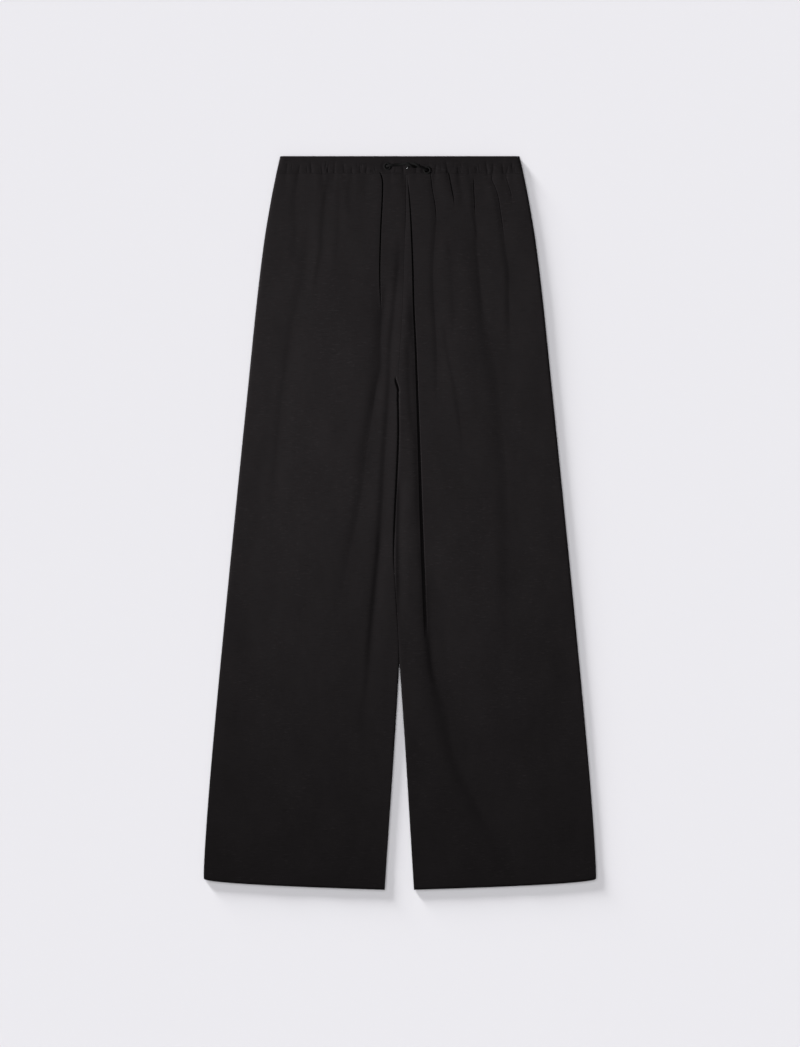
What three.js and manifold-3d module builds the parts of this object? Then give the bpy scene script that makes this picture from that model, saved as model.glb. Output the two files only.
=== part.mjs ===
// Drawstring trousers with wide legs, laid flat on a table with the front up.
//
// Units are millimetres. X runs towards the wearer's left, Y from the hems to the waist and Z up
// from the table. The origin is on the table, under the middle of the garment.
//
// "down" is the distance below the waist's top edge. "across" is the distance from a leg panel's
// inner edge (the centre seam, then the inseam) towards its side seam, so that both legs share
// one set of functions. Every piece of cloth is a slab: a grid of points on its upper surface,
// the same grid on its underside, and a closed rim between them.

import * as THREE from 'three';
import { mergeVertices } from 'three/addons/utils/BufferGeometryUtils.js';
import Module from 'manifold-3d';

// ---- driving sizes -------------------------------------------------------------------------

const LENGTH = 1050;        // waist edge to the inner hem corners
const BAND_DEPTH = 26.5;    // height of the gathered waistband
const CROTCH = 323;         // down to where the four leg panels meet
const GAP_START = 724;      // down to where the legs part
const GAP_SPREAD = 0.0643;  // half of the gap between the legs, for each mm below that
const HEM_RISE = 16;        // the outer hem corners end this much above the inner ones
const HEM_RAMP = 250;       // length over which the rows bend into the hem's curve
const HEM_DEPTH = 32;       // height of the turned-up hem

const WALL = 1.3;           // a panel's cloth, with the air in its weave
const HEM_WALL = 1.8;       // the same where the hem is turned up
const SEAM_GAP = 0.3;       // pieces stand this far apart at a seam
const SEAM_HEIGHT = 2.3;    // height of the side seams above the table
const SIDE_ROLL = 9;        // width over which a front panel rolls down to a seam
const BACK_ROLL = 6;        // width over which a back panel rolls up to it
const SEAM_GROOVE = 0.6;    // dip of the front panels at the centre seam
const GROOVE_REACH = 4;     // half the width of that dip
const INSEAM_BLEND = 40;    // length below the crotch where the inner edges start to roll
const CREASE_LEAD = 14;     // a crease grows to its full depth over this length
const CREASE_TAIL = 0.35;   // and fades over this share of its length

const BAND_LAYER = 3;       // thickness of one half of the waistband, elastic and cloth
const BAND_ROLL = 7;        // width over which the waistband rounds off at the sides
const BAND_EDGE_DROP = 1.6; // how far it rounds off there
const GATHER_SWELL = 0.7;   // height of the cloth between two gathers
const GATHER_START = 3;     // down to where the gathers begin, under a smooth top edge
const GATHER_FULL = 13;     // and to where they are at full depth
const PUCKER_CALM = 11;     // gathers are pressed flat within this distance of an eyelet

const CORD_DIAMETER = 4;
const CORD_SIDES = 10;
const CORD_STEP = 5;        // length of one step along a cord
const EYELET_HOLE = 6.4;
const EYELET_RING = 10.8;   // outer diameter of the stitched ring
const EYELET_HEIGHT = 1;
const EYELET_SIDES = 20;
const EYELET_CALM = 6;      // the band has a column on each side of an eyelet, this far from it
const TIP_DIAMETER = 3.2;
const TIP_LENGTH = 3.8;
const KNOT_SIZE = { x: 17, y: 9, z: 8.2 };

// Half of the garment's width, from the waist to the hem.
const SILHOUETTE = [
  { down: 0, half: 171.2 },
  { down: 27, half: 177.3 },
  { down: 63, half: 184.5 },
  { down: 120, half: 194 },
  { down: 206, half: 204.6 },
  { down: 323, half: 216.6 },
  { down: 464, half: 231 },
  { down: 635, half: 248 },
  { down: 807, half: 264.4 },
  { down: 922, half: 274.3 },
  { down: 1019, half: 280.6 },
  { down: 1050, half: 280.2 },
];

// The centre seam, and below the crotch the line along which the two legs meet.
const CENTRE_LINE = [
  { down: 0, x: 8 },
  { down: 77, x: 8 },
  { down: 134, x: 6.6 },
  { down: 220, x: 3.8 },
  { down: 323, x: -2.2 },
  { down: 406, x: -2.2 },
  { down: 521, x: -7.4 },
  { down: 570, x: -8.4 },
  { down: 635, x: -5.5 },
  { down: 724, x: -0.8 },
  { down: 1050, x: -0.8 },
];

// Height of the front panels' underside above the table, away from seams and creases.
const LOFT = [
  { down: 0, height: 4.6 },
  { down: 120, height: 5 },
  { down: 323, height: 4.6 },
  { down: 640, height: 4 },
  { down: 900, height: 3 },
  { down: 1050, height: 2.6 },
];

// Creases of the front panels, from the centre outwards. "from" and "to" say how far down one
// shows, "reach" is half its width, and "path" is where it runs, as [down, x]. A pleat is a
// crease that starts sharp at the gathers and softens into a hollow on its way down.
const CREASES = {
  right: [
    { from: 90, to: 900, depth: 1.7, reach: 7,
      path: [[105, 2], [150, 0.5], [210, -5.5], [270, -11], [330, -13.5], [390, -17.5],
        [450, -21.5], [510, -24.5], [560, -27.5], [620, -33], [680, -38.5], [740, -43],
        [800, -51]] },
    { from: 14, to: 230, depth: 2.6, reach: 3.2, softFrom: 150, softDepth: 1.5, softReach: 10,
      softTo: 730,
      path: [[20, -29], [34, -25], [48, -24.8], [70, -25.8], [105, -27.8], [180, -29.3],
        [240, -28.5], [306, -32], [360, -37], [420, -46], [480, -53], [521, -60], [635, -84],
        [692, -95]] },
    { from: 8, to: 62, depth: 1.3, reach: 3, path: [[27, -49], [50, -50]] },
    { from: 10, to: 95, depth: 0.8, reach: 5, path: [[31, -74], [77, -72]] },
    { from: 12, to: 170, depth: 0.7, reach: 5, path: [[31, -89], [105, -89], [134, -91]] },
    { from: 8, to: 225, depth: 1.2, reach: 6,
      path: [[31, -105], [77, -108.5], [120, -110], [177, -118]] },
    { from: 20, to: 560, depth: 1, reach: 9,
      path: [[55, -136], [134, -132], [180, -138], [300, -160], [360, -169], [480, -179]] },
    { from: 8, to: 230, depth: 0.9, reach: 7, path: [[31, -148], [105, -157], [177, -171]] },
  ],
  left: [
    { from: 8, to: 700, depth: 2.9, reach: 3.2, softFrom: 560, softDepth: 2.4, softReach: 15,
      softTo: 1030,
      path: [[31, 11.3], [53, 13.3], [90, 15.8], [150, 18.3], [210, 19.9], [270, 22.7],
        [330, 24.9], [390, 27], [450, 29], [510, 30.8], [560, 32.6], [620, 36], [680, 43],
        [740, 55], [800, 69], [860, 85], [920, 112], [965, 134]] },
    { from: 8, to: 390, depth: 1.4, reach: 5,
      path: [[23, 44], [46, 46.5], [66, 50], [90, 52.5], [110, 51.5], [150, 48.5], [177, 48],
        [210, 49.5], [270, 53], [349, 54]] },
    { from: 8, to: 70, depth: 1.5, reach: 3, path: [[26, 71], [66, 78]] },
    { from: 10, to: 75, depth: 1, reach: 4, path: [[31, 85], [55, 85]] },
    { from: 8, to: 180, depth: 1.4, reach: 4, softFrom: 70, softDepth: 1.9, softReach: 17,
      softTo: 740,
      path: [[31, 105.5], [75, 108], [105, 112], [150, 118], [210, 125], [306, 138], [400, 145],
        [463, 148], [560, 153]] },
    { from: 14, to: 70, depth: 0.9, reach: 4, path: [[31, 119], [55, 122]] },
    { from: 10, to: 300, depth: 1.6, reach: 5,
      path: [[34, 131], [55, 139.5], [90, 148], [150, 154], [210, 155.5], [270, 156]] },
    { from: 8, to: 90, depth: 1.1, reach: 5, path: [[31, 156], [55, 165]] },
  ],
};

// Gathers of the waistband's front: where one stands, how far it leans from the top edge to the
// seam, and how deep it is.
const GATHERS = [
  { x: -161, lean: -3, depth: 0.8 },
  { x: -143, lean: -4, depth: 1.1 },
  { x: -127, lean: 2, depth: 1.3 },
  { x: -112, lean: 3, depth: 1.2 },
  { x: -93, lean: -2, depth: 0.8 },
  { x: -80, lean: 2, depth: 1.1 },
  { x: -68, lean: -1, depth: 1.3 },
  { x: -57, lean: 2, depth: 1.1 },
  { x: -47, lean: -3, depth: 1.2 },
  { x: -14, lean: 2, depth: 0.9 },
  { x: 4, lean: 3, depth: 1 },
  { x: 24, lean: -2, depth: 1 },
  { x: 52, lean: -3, depth: 1.3 },
  { x: 67, lean: 3, depth: 1.1 },
  { x: 83, lean: 2, depth: 1.2 },
  { x: 98, lean: 3, depth: 0.9 },
  { x: 111, lean: -3, depth: 1.1 },
  { x: 124, lean: 3, depth: 1.4 },
  { x: 134, lean: -2, depth: 1.2 },
  { x: 147, lean: 3, depth: 1.1 },
  { x: 161, lean: 2, depth: 0.8 },
];
const GATHER_REACH = 2.6;

// Where the drawstring leaves its casing.
const EYELETS = {
  right: { x: -18, down: 14.6 },
  left: { x: 39, down: 20 },
};
const KNOT = { x: 20, down: 12.9 };
const FREE_END = [{ x: 16, down: 13.6 }, { x: 11.3, down: 16.5 }];   // it sticks out of the knot

const PANEL_ROWS = [
  BAND_DEPTH + SEAM_GAP, 34, 44, 58, 80, 106, 136, 172, 210, 250, 290, CROTCH, 343, 370, 410, 463,
  521, 578, 635, 690, GAP_START, 765, 812, 865, 920, 970, LENGTH - HEM_DEPTH - 3,
  LENGTH - HEM_DEPTH, LENGTH,
];
const BACK_ROWS = [
  BAND_DEPTH + SEAM_GAP, 63, 120, 206, CROTCH, 343, 370, 463, 578, 680, GAP_START, 812, 920,
  LENGTH - HEM_DEPTH - 3, LENGTH - HEM_DEPTH, LENGTH,
];
const BAND_ROWS = [0, 4, 11, 19, 24, BAND_DEPTH];
const EDGE_INSETS = [0, 1.5, 4, 9];          // columns that carry the roll at a seam
const CENTRE_INSET_SCALE = 0.2;              // the same beside the centre seam, where none rolls
const BACK_SHARES = [0.08, 0.3, 0.55, 0.8, 0.92];
const LEAST_COLUMN = 0.6;                    // columns stay this far apart

const COLOURS = {
  cloth: 0x242223,
  band: 0x201e1f,
  cord: 0x171616,
  thread: 0x1b1a1a,
  metal: 0xd8d8da,
};

// ---- small functions -----------------------------------------------------------------------

function clamp(value, low, high) {
  return Math.min(Math.max(value, low), high);
}

function smoothstep(start, end, value) {
  const share = clamp((value - start) / (end - start), 0, 1);
  return share * share * (3 - 2 * share);
}

// A quarter of an ellipse: 0 at the edge, 1 from the end of the roll onwards.
function rolled(distance, roll) {
  const left = 1 - clamp(distance / roll, 0, 1);
  return Math.sqrt(1 - left * left);
}

// A smooth curve through [position, value] pairs, level before the first and after the last.
function curveThrough(pairs, position) {
  const last = pairs.length - 1;
  if (position <= pairs[0][0]) return pairs[0][1];
  if (position >= pairs[last][0]) return pairs[last][1];
  let index = 0;
  while (pairs[index + 1][0] < position) index += 1;
  const slopeAt = (k) => {
    const before = pairs[Math.max(k - 1, 0)];
    const after = pairs[Math.min(k + 1, last)];
    return (after[1] - before[1]) / (after[0] - before[0]);
  };
  const [start, startValue] = pairs[index];
  const [end, endValue] = pairs[index + 1];
  const span = end - start;
  const t = (position - start) / span;
  const rise = t * t * (3 - 2 * t);
  const leaving = span * slopeAt(index) * t * (1 - t) * (1 - t);
  const arriving = -span * slopeAt(index + 1) * t * t * (1 - t);
  return startValue + (endValue - startValue) * rise + leaving + arriving;
}

const pairsOf = (table, column) => table.map((row) => [row.down, row[column]]);
const HALF_WIDTHS = pairsOf(SILHOUETTE, 'half');
const CENTRES = pairsOf(CENTRE_LINE, 'x');
const LOFTS = pairsOf(LOFT, 'height');

const halfWidth = (down) => curveThrough(HALF_WIDTHS, down);
const legGap = (down) => Math.max(0, down - GAP_START) * GAP_SPREAD + SEAM_GAP / 2;
const yOf = (down) => LENGTH / 2 - down;

// ---- leg panels ----------------------------------------------------------------------------

// side is -1 for the wearer's right leg and 1 for the left one.
const innerEdge = (side, down) => curveThrough(CENTRES, down) + side * legGap(down);
const panelWidth = (side, down) => halfWidth(down) - side * innerEdge(side, down);

// How much of the inner edge's roll there is: none at the centre seam, all along the inseam.
const inseamShare = (down) => smoothstep(CROTCH, CROTCH + INSEAM_BLEND, down);

function backTop(side, across, down) {
  const width = panelWidth(side, down);
  const atSide = 1 - rolled(width - across, BACK_ROLL);
  const atInseam = (1 - rolled(across, BACK_ROLL)) * inseamShare(down);
  const lift = SEAM_HEIGHT - SEAM_GAP / 2 - WALL;
  return WALL + lift * Math.max(atSide, atInseam);
}

// A crease's depth at a place: full between its ends and on its path, none beyond its reach.
function troughDepth(distance, down, from, to, depth, reach) {
  const along = smoothstep(from, from + CREASE_LEAD, down)
    * (1 - smoothstep(to - CREASE_TAIL * (to - from), to, down));
  return depth * along * Math.exp(-((distance / reach) ** 2));
}

function creaseDepth(crease, x, down) {
  const distance = x - curveThrough(crease.path, down);
  const sharp = troughDepth(distance, down, crease.from, crease.to, crease.depth, crease.reach);
  if (!crease.softDepth) return sharp;
  const soft = troughDepth(distance, down, crease.softFrom, crease.softTo, crease.softDepth,
    crease.softReach);
  return Math.max(sharp, soft);
}

function frontUnderside(side, creases, across, down) {
  const x = innerEdge(side, down) + side * across;
  const width = panelWidth(side, down);
  const atSide = rolled(width - across, SIDE_ROLL);
  const atInseam = 1 - (1 - rolled(across, SIDE_ROLL)) * inseamShare(down);
  const rise = Math.min(atSide, atInseam);
  const seam = SEAM_HEIGHT + SEAM_GAP / 2;
  const groove = SEAM_GROOVE * (1 - inseamShare(down)) * Math.exp(-((across / GROOVE_REACH) ** 2));
  const depth = creases.reduce((sum, crease) => sum + creaseDepth(crease, x, down), 0);
  const height = seam + (curveThrough(LOFTS, down) - seam) * rise - (depth + groove) * rise;
  return Math.max(height, backTop(side, across, down) + SEAM_GAP);
}

// A crease has a column on its line, and a pleat one on each shoulder too. Above and below the
// stretch that its path covers, the columns keep the share of the panel's width that it ends on.
function creaseColumns(side, crease, down) {
  const [first] = crease.path[0];
  const [last] = crease.path[crease.path.length - 1];
  const shown = clamp(down, first, last);
  const across = side * (curveThrough(crease.path, shown) - innerEdge(side, shown));
  const centre = (across / panelWidth(side, shown)) * panelWidth(side, down);
  if (!crease.softDepth) return [centre];
  return [centre - crease.reach, centre, centre + crease.reach];
}

// Distances of a front panel's columns from its inner edge: the rolled edges, the creases, and
// one more column between each two of these.
function frontColumns(side, creases, down) {
  const width = panelWidth(side, down);
  const edgeScale = CENTRE_INSET_SCALE + (1 - CENTRE_INSET_SCALE) * inseamShare(down);
  const columns = EDGE_INSETS.map((inset) => inset * edgeScale);
  const rolledColumns = columns.length;
  const outer = EDGE_INSETS.map((inset) => width - inset).reverse();
  [...creases.map((crease) => creaseColumns(side, crease, down)), outer].forEach((next) => {
    columns.push((columns[columns.length - 1] + next[0]) / 2, ...next);
  });
  for (let k = rolledColumns; k < columns.length; k += 1) {
    columns[k] = Math.max(columns[k], columns[k - 1] + LEAST_COLUMN);
  }
  columns[columns.length - 1] = width;
  for (let k = columns.length - 2; k > rolledColumns; k -= 1) {
    columns[k] = Math.min(columns[k], columns[k + 1] - LEAST_COLUMN);
  }
  return columns;
}

function backColumns(side, down) {
  const width = panelWidth(side, down);
  const inner = [0, BACK_ROLL / 3, BACK_ROLL];
  return [...inner, ...BACK_SHARES.map((share) => share * width),
    ...inner.map((inset) => width - inset).reverse()];
}

// The hem curves up towards the side seam, and the rows above it bend into that curve.
function hemLift(share, down) {
  const left = Math.sqrt(Math.max(0, 1 - share));
  return HEM_RISE * (1 - left) * smoothstep(LENGTH - HEM_RAMP, LENGTH, down);
}

function wallAt(down) {
  return down >= LENGTH - HEM_DEPTH ? HEM_WALL : WALL;
}

// ---- closed slabs --------------------------------------------------------------------------

// grid is a list of rows, each a list of { x, y, top, bottom }. The rows run from the waist
// down, and the points of a row from low to high x.
function slab(grid) {
  const rows = grid.length;
  const columns = grid[0].length;
  const count = rows * columns;
  const positions = [];
  grid.forEach((row) => row.forEach((point) => positions.push(point.x, point.y, point.top)));
  grid.forEach((row) => row.forEach((point) => positions.push(point.x, point.y, point.bottom)));
  const index = [];
  const quad = (a, b, c, d) => index.push(a, b, c, a, c, d);
  const at = (row, column) => row * columns + column;
  for (let row = 0; row + 1 < rows; row += 1) {
    for (let column = 0; column + 1 < columns; column += 1) {
      const corners = [at(row, column), at(row + 1, column), at(row + 1, column + 1),
        at(row, column + 1)];
      quad(...corners);
      quad(...corners.map((corner) => corner + count).reverse());
    }
    const left = [at(row, 0), at(row + 1, 0)];
    const right = [at(row, columns - 1), at(row + 1, columns - 1)];
    quad(left[0], left[0] + count, left[1] + count, left[1]);
    quad(right[1], right[1] + count, right[0] + count, right[0]);
  }
  for (let column = 0; column + 1 < columns; column += 1) {
    const top = [at(0, column), at(0, column + 1)];
    const foot = [at(rows - 1, column), at(rows - 1, column + 1)];
    quad(top[1], top[1] + count, top[0] + count, top[0]);
    quad(foot[0], foot[0] + count, foot[1] + count, foot[1]);
  }
  const geometry = new THREE.BufferGeometry();
  geometry.setAttribute('position', new THREE.Float32BufferAttribute(positions, 3));
  geometry.setIndex(index);
  geometry.computeVertexNormals();
  return geometry;
}

// One leg panel: columnsAt(down) gives its columns, and surfaces(across, down) its two heights.
function legPanel(side, rows, columnsAt, surfaces) {
  return slab(rows.map((rowDown) => {
    const points = columnsAt(rowDown).map((across) => {
      const share = across / panelWidth(side, rowDown);
      const down = rowDown - hemLift(share, rowDown);
      const placed = share * panelWidth(side, down);
      return {
        x: innerEdge(side, down) + side * placed,
        y: yOf(down),
        ...surfaces(placed, down, rowDown),
      };
    });
    return side < 0 ? points.reverse() : points;
  }));
}

function frontPanel(side, creases) {
  return legPanel(side, PANEL_ROWS, (down) => frontColumns(side, creases, down),
    (across, down, rowDown) => {
      const bottom = frontUnderside(side, creases, across, down);
      return { top: bottom + wallAt(rowDown), bottom };
    });
}

function backPanel(side) {
  return legPanel(side, BACK_ROWS, (down) => backColumns(side, down), (across, down) => {
    const top = backTop(side, across, down);
    return { top, bottom: top - WALL };
  });
}

// ---- waistband -----------------------------------------------------------------------------

const gatherX = (gather, down) => gather.x + gather.lean * (down / BAND_DEPTH - 0.5);

function calmNearEyelets(x, down) {
  const shares = Object.values(EYELETS).map((eyelet) => {
    const distance = Math.hypot(x - eyelet.x, down - eyelet.down);
    return smoothstep(EYELET_RING / 2, PUCKER_CALM, distance);
  });
  return Math.min(...shares);
}

function bandTop(x, down) {
  const inset = halfWidth(down) - Math.abs(x);
  const round = BAND_EDGE_DROP * (1 - rolled(inset, BAND_ROLL));
  const grooves = GATHERS.reduce((sum, gather) => sum
    + gather.depth * Math.exp(-(((x - gatherX(gather, down)) / GATHER_REACH) ** 2)), 0);
  const gathered = smoothstep(GATHER_START, GATHER_FULL, down);
  const swell = (GATHER_SWELL - grooves * gathered) * calmNearEyelets(x, down)
    * rolled(inset, BAND_ROLL);
  const hemmed = rolled(Math.min(down, BAND_DEPTH - down) + 1, 4);
  return 2 * BAND_LAYER + SEAM_GAP + swell * hemmed - round;
}

function bandColumns(down) {
  const half = halfWidth(down);
  const insets = [0, BAND_ROLL / 5, BAND_ROLL / 2];
  const besideEyelets = Object.values(EYELETS).flatMap(({ x }) => [x - EYELET_CALM, x + EYELET_CALM]);
  const lines = [...GATHERS.map((gather) => gatherX(gather, down)), ...besideEyelets]
    .sort((a, b) => a - b);
  const columns = insets.map((inset) => inset - half);
  lines.forEach((line, k) => {
    if (k > 0) columns.push((lines[k - 1] + line) / 2);
    columns.push(line);
  });
  return [...columns, ...insets.map((inset) => half - inset).reverse()];
}

function frontBand() {
  return slab(BAND_ROWS.map((down) => bandColumns(down).map((x) => (
    { x, y: yOf(down), top: bandTop(x, down), bottom: BAND_LAYER + SEAM_GAP }))));
}

function backBand() {
  return slab(BAND_ROWS.map((down) => {
    const half = halfWidth(down);
    const insets = [0, BAND_ROLL / 5, BAND_ROLL / 2, BAND_ROLL, half / 2];
    const columns = [...insets.map((inset) => inset - half), 0,
      ...insets.map((inset) => half - inset).reverse()];
    return columns.map((x) => {
      const lift = BAND_EDGE_DROP * (1 - rolled(half - Math.abs(x), BAND_ROLL));
      return { x, y: yOf(down), top: BAND_LAYER, bottom: lift };
    });
  }));
}

// ---- cutting -------------------------------------------------------------------------------

const wasm = await Module();
wasm.setup();

function toSolid(geometry) {
  const bare = geometry.clone();
  bare.deleteAttribute('normal');
  if (bare.getAttribute('uv')) bare.deleteAttribute('uv');
  const merged = mergeVertices(bare, 1e-4);
  return new wasm.Manifold(new wasm.Mesh({
    numProp: 3,
    vertProperties: new Float32Array(merged.getAttribute('position').array),
    triVerts: new Uint32Array(merged.getIndex().array),
  }));
}

function toGeometry(solid) {
  const mesh = solid.getMesh();
  const geometry = new THREE.BufferGeometry();
  geometry.setAttribute('position', new THREE.Float32BufferAttribute(mesh.vertProperties, 3));
  geometry.setIndex(Array.from(mesh.triVerts));
  geometry.computeVertexNormals();
  return geometry;
}

// The casing is open under each eyelet, where the drawstring comes out.
function cutEyeletHoles(band) {
  let solid = toSolid(band);
  Object.values(EYELETS).forEach((eyelet) => {
    const hole = new THREE.CylinderGeometry(EYELET_HOLE / 2, EYELET_HOLE / 2, 6 * BAND_LAYER,
      EYELET_SIDES);
    hole.rotateX(Math.PI / 2);
    hole.translate(eyelet.x, yOf(eyelet.down), BAND_LAYER);
    solid = solid.subtract(toSolid(hole));
  });
  return toGeometry(solid);
}

// ---- eyelets, drawstring and tip -----------------------------------------------------------

const BAND_FACE = 2 * BAND_LAYER + SEAM_GAP;      // upper face of the flat waistband
const CORD_LYING = BAND_FACE + GATHER_SWELL + SEAM_GAP + CORD_DIAMETER / 2;
const KNOT_HEIGHT = BAND_FACE + GATHER_SWELL + SEAM_GAP + KNOT_SIZE.z / 2;

function eyeletRing() {
  const inner = EYELET_HOLE / 2;
  const outer = EYELET_RING / 2;
  const profile = [
    [inner, 0.2], [inner + 0.5, 0], [outer, 0], [outer, EYELET_HEIGHT * 0.4],
    [(inner + outer) / 2 + 0.4, EYELET_HEIGHT], [inner + 0.6, EYELET_HEIGHT],
    [inner, EYELET_HEIGHT * 0.6], [inner, 0.2],
  ].map(([radius, height]) => new THREE.Vector2(radius, height));
  const ring = new THREE.LatheGeometry(profile, EYELET_SIDES);
  ring.rotateX(Math.PI / 2);
  return ring;
}

// A round tube along hand-placed points, each [x, down, height of its middle].
function tube(route, diameter, step) {
  const points = route.map(([x, down, height]) => new THREE.Vector3(x, yOf(down), height));
  const path = new THREE.CatmullRomCurve3(points, false, 'centripetal');
  const section = new THREE.Shape();
  for (let k = 0; k < CORD_SIDES; k += 1) {
    const angle = (2 * Math.PI * k) / CORD_SIDES;
    const corner = [Math.cos(angle) * diameter / 2, Math.sin(angle) * diameter / 2];
    if (k === 0) section.moveTo(...corner);
    else section.lineTo(...corner);
  }
  const steps = Math.max(2, Math.round(path.getLength() / step));
  return new THREE.ExtrudeGeometry(section, { steps, bevelEnabled: false, extrudePath: path });
}

// The cord climbs out of an eyelet, over its stitched ring, and lies on the band to the knot.
const RIGHT_ROUTE = [
  [EYELETS.right.x - 0.9, EYELETS.right.down, BAND_FACE - 0.3],
  [EYELETS.right.x + 1.3, EYELETS.right.down - 0.4, BAND_FACE + 2.9],
  [EYELETS.right.x + 5.5, EYELETS.right.down - 1.3, CORD_LYING + 1.3],
  [EYELETS.right.x + 11, 12.7, CORD_LYING + 0.2],
  [0, 12.2, CORD_LYING],
  [KNOT.x - KNOT_SIZE.x / 2 - SEAM_GAP, KNOT.down - 0.3, CORD_LYING + 0.8],
];
const LEFT_ROUTE = [
  [EYELETS.left.x + 0.9, EYELETS.left.down, BAND_FACE - 0.3],
  [EYELETS.left.x - 1.3, EYELETS.left.down - 0.8, BAND_FACE + 2.9],
  [EYELETS.left.x - 5.3, EYELETS.left.down - 2.8, CORD_LYING + 1.3],
  [KNOT.x + KNOT_SIZE.x / 2 + SEAM_GAP, KNOT.down + 1, CORD_LYING + 0.8],
];

// The half knot, and the short free end that the metal tip is on.
function knotSolid() {
  const knot = new THREE.SphereGeometry(0.5, 14, 10);
  knot.rotateX(Math.PI / 2);
  knot.scale(KNOT_SIZE.x, KNOT_SIZE.y, KNOT_SIZE.z);
  knot.translate(KNOT.x, yOf(KNOT.down), KNOT_HEIGHT);
  const freeEnd = tube(FREE_END.map(({ x, down }) => [x, down, CORD_LYING]), CORD_DIAMETER,
    CORD_STEP);
  return toGeometry(toSolid(knot).add(toSolid(freeEnd)));
}

function tipSolid() {
  const [start, end] = FREE_END;
  const ahead = new THREE.Vector2(end.x - start.x, start.down - end.down).normalize();
  const reach = SEAM_GAP + TIP_LENGTH / 2;
  const tip = new THREE.CylinderGeometry(TIP_DIAMETER / 2, TIP_DIAMETER / 2, TIP_LENGTH, 12);
  tip.rotateZ(Math.atan2(ahead.y, ahead.x) - Math.PI / 2);
  tip.translate(end.x + ahead.x * reach, yOf(end.down) + ahead.y * reach, CORD_LYING);
  return tip;
}

// ---- the garment ---------------------------------------------------------------------------

function addPiece(group, name, geometry, colour, roughness, metalness = 0) {
  const material = new THREE.MeshStandardMaterial({ color: colour, roughness, metalness });
  const mesh = new THREE.Mesh(geometry, material);
  mesh.name = name;
  group.add(mesh);
  return mesh;
}

const trousers = new THREE.Group();
addPiece(trousers, 'back_right', backPanel(-1), COLOURS.cloth, 0.9);
addPiece(trousers, 'back_left', backPanel(1), COLOURS.cloth, 0.9);
addPiece(trousers, 'front_right', frontPanel(-1, CREASES.right), COLOURS.cloth, 0.9);
addPiece(trousers, 'front_left', frontPanel(1, CREASES.left), COLOURS.cloth, 0.9);
addPiece(trousers, 'waistband_back', backBand(), COLOURS.band, 0.9);
addPiece(trousers, 'waistband_front', cutEyeletHoles(frontBand()), COLOURS.band, 0.9);

Object.entries(EYELETS).forEach(([side, eyelet]) => {
  const ring = addPiece(trousers, `eyelet_${side}`, eyeletRing(), COLOURS.thread, 0.8);
  ring.position.set(eyelet.x, yOf(eyelet.down), BAND_FACE + SEAM_GAP);
});

addPiece(trousers, 'drawstring_right', tube(RIGHT_ROUTE, CORD_DIAMETER, CORD_STEP), COLOURS.cord,
  0.85);
addPiece(trousers, 'drawstring_left', tube(LEFT_ROUTE, CORD_DIAMETER, CORD_STEP), COLOURS.cord,
  0.85);
addPiece(trousers, 'drawstring_knot', knotSolid(), COLOURS.cord, 0.85);
addPiece(trousers, 'drawstring_tip', tipSolid(), COLOURS.metal, 0.25, 1);

export default trousers;
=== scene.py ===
import math

import bmesh
import bpy
import numpy as np
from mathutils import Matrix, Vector


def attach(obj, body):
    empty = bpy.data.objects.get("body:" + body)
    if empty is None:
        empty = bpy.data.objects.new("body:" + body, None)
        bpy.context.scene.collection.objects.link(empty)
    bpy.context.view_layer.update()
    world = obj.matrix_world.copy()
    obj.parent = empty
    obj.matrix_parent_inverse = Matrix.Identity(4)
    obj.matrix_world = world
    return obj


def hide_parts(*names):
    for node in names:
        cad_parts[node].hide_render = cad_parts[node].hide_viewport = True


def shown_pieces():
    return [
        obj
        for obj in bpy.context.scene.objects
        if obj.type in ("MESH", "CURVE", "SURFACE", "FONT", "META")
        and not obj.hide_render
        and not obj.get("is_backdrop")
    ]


# Drawstring trousers, laid flat with the front up: their looks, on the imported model's frame.
#
# Lengths are in millimetres, and MM turns them into metres where a mesh is made. "down" is the
# distance below the waist's top edge, and "across" the distance from a leg panel's inner edge
# towards its side seam, as in the part's own source.

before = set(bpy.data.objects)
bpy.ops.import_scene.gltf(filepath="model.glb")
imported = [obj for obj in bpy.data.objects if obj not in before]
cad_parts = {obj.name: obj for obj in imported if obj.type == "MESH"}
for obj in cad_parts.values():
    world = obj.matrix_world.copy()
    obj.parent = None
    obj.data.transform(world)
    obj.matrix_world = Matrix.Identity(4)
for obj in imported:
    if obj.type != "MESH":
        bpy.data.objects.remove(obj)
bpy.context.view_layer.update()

MM = 0.001
ROOT = "root"
RNG = np.random.default_rng(7)

# ---- sizes, as in the part ----

LENGTH = 1050
BAND_DEPTH = 26.5
CROTCH = 323
GAP_START = 724
GAP_SPREAD = 0.0643
HEM_RISE = 16
HEM_RAMP = 250
HEM_DEPTH = 32
WALL = 1.3
SEAM_GAP = 0.3
SEAM_HEIGHT = 2.3
SIDE_ROLL = 4
BACK_ROLL = 6
INSEAM_BLEND = 40
CREASE_LEAD = 14
CREASE_TAIL = 0.35
BAND_LAYER = 3
BAND_ROLL = 7
BAND_EDGE_DROP = 1.6
GATHER_SWELL = 0.7
PUCKER_CALM = 11
CORD_DIAMETER = 4.0
EYELET_HOLE = 6.4
EYELET_RING = 10.8

SILHOUETTE = [  # down, half of the width
    (0, 171.2), (27, 177.3), (63, 184.5), (120, 194), (206, 204.6), (323, 216.6), (464, 231),
    (635, 248), (807, 264.4), (922, 274.3), (1019, 280.6), (1050, 280.2),
]
CENTRE_LINE = [  # down, x of the centre seam and of the line where the legs meet
    (0, 8), (77, 8), (134, 6.6), (220, 3.8), (323, -2.2), (406, -2.2), (521, -7.4), (570, -8.4),
    (635, -5.5), (724, -0.8), (1050, -0.8),
]
LOFT = [  # down, height of the front's underside
    (0, 4.6), (120, 5), (323, 4.6), (640, 4), (900, 3), (1050, 2.6),
]

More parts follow.
